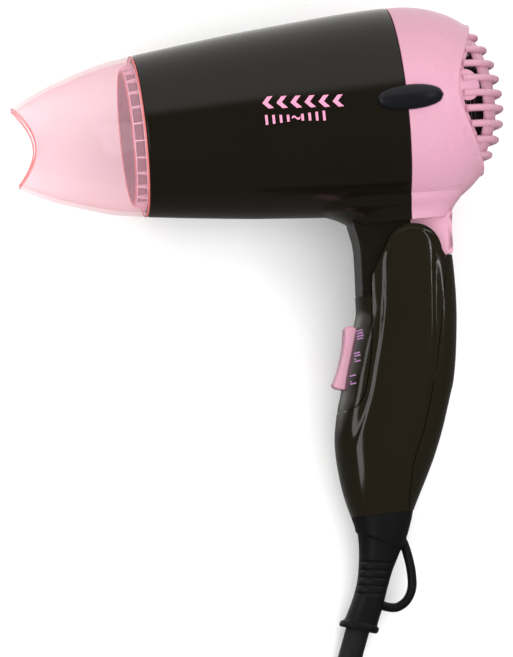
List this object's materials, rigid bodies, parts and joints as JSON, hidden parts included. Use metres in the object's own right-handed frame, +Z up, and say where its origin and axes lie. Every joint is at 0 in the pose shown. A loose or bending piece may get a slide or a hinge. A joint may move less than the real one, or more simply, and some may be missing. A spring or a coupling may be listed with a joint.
{
  "type": "hand-held hair dryer",
  "caption": "Folding travel hair dryer with a tapered dark barrel, pink ribbed rear intake, clear flat nozzle, slide switch, hang loop, and its cord coiled beside it.",
  "frame": {"origin": "middle of the dryer's own bounding box, on the surface it lies on", "axes": "+Z up from the surface; +Y along the handle from its cord end towards the barrel; +X along the barrel from the nozzle towards the air intake"},
  "size_m": [0.2285, 0.3812, 0.0791],
  "materials": {
    "gloss_black": "polished dark brown-black",
    "pink_plastic": "satin pink",
    "clear_pink": "translucent pale pink",
    "black_rubber": "satin dark grey",
    "dark_plastic": "matt dark grey",
    "steel": "plain steel",
    "copper_red": "red insulation",
    "mica": "amber mica board",
    "heater_wire": "oxidised resistance wire",
    "board_green": "green circuit board",
    "plated_brass": "nickel-plated",
    "white_nylon": "natural white"
  },
  "bodies": {
    "handle": {"handle_shell": "gloss_black", "switch_plate": "gloss_black", "handle_back_cover": "gloss_black", "hinge_bush_left": "steel", "hinge_bush_right": "steel", "friction_washer_left": "white_nylon", "friction_washer_right": "white_nylon", "switch_block": "dark_plastic", "cord_clamp": "white_nylon", "clamp_screw_front": "steel", "clamp_screw_back": "steel", "handle_wire_live": "copper_red", "handle_wire_neutral": "white_nylon", "strain_relief": "black_rubber", "mains_cord": "black_rubber", "cord_coil": "black_rubber", "cord_tail": "black_rubber", "cable_tie": "dark_plastic", "plug_body": "black_rubber", "plug_blade_left": "plated_brass", "plug_blade_right": "plated_brass"},
    "barrel": {"barrel_shell": "gloss_black", "rear_cover": "pink_plastic", "side_trim_left": "black_rubber", "side_trim_right": "black_rubber", "intake_screen": "steel", "outlet_grille": "dark_plastic", "mica_sleeve": "mica", "mica_cross": "mica", "heating_coil_main": "heater_wire", "heating_coil_low": "heater_wire", "thermal_cutoff": "steel", "thermal_fuse": "white_nylon", "motor_housing": "dark_plastic", "motor_can": "steel", "motor_end_cap": "dark_plastic", "rectifier_board": "board_green", "diode_1": "dark_plastic", "diode_2": "dark_plastic", "diode_3": "dark_plastic", "diode_4": "dark_plastic", "barrel_wire_live": "copper_red", "barrel_wire_neutral": "white_nylon"},
    "fan": {"motor_shaft": "steel", "fan_impeller": "dark_plastic"},
    "nozzle": {"nozzle": "clear_pink"},
    "slider": {"slide_button": "pink_plastic", "switch_carriage": "copper_red"}
  },
  "joints": [
    {"name": "handle_fold", "type": "hinge", "parent": "handle", "child": "barrel", "pos_m": [0.05037, 0.02233, 0.03134], "axis": [-0.11, -0.1591, 0.9811], "range_deg": [0, 60]},
    {"name": "fan_spin", "type": "hinge", "parent": "barrel", "child": "fan", "pos_m": [0.04992, 0.07288, 0.03949], "axis": [0.9939, -0.0088, 0.11], "continuous": true},
    {"name": "nozzle_turn", "type": "hinge", "parent": "barrel", "child": "nozzle", "pos_m": [0.04992, 0.07288, 0.03949], "axis": [0.9939, -0.0088, 0.11], "continuous": true},
    {"name": "switch_slide", "type": "slide", "parent": "handle", "child": "slider", "axis": [0.2921, 0.9383, 0.1849], "range_m": [-0.004, 0.004]}
  ]
}
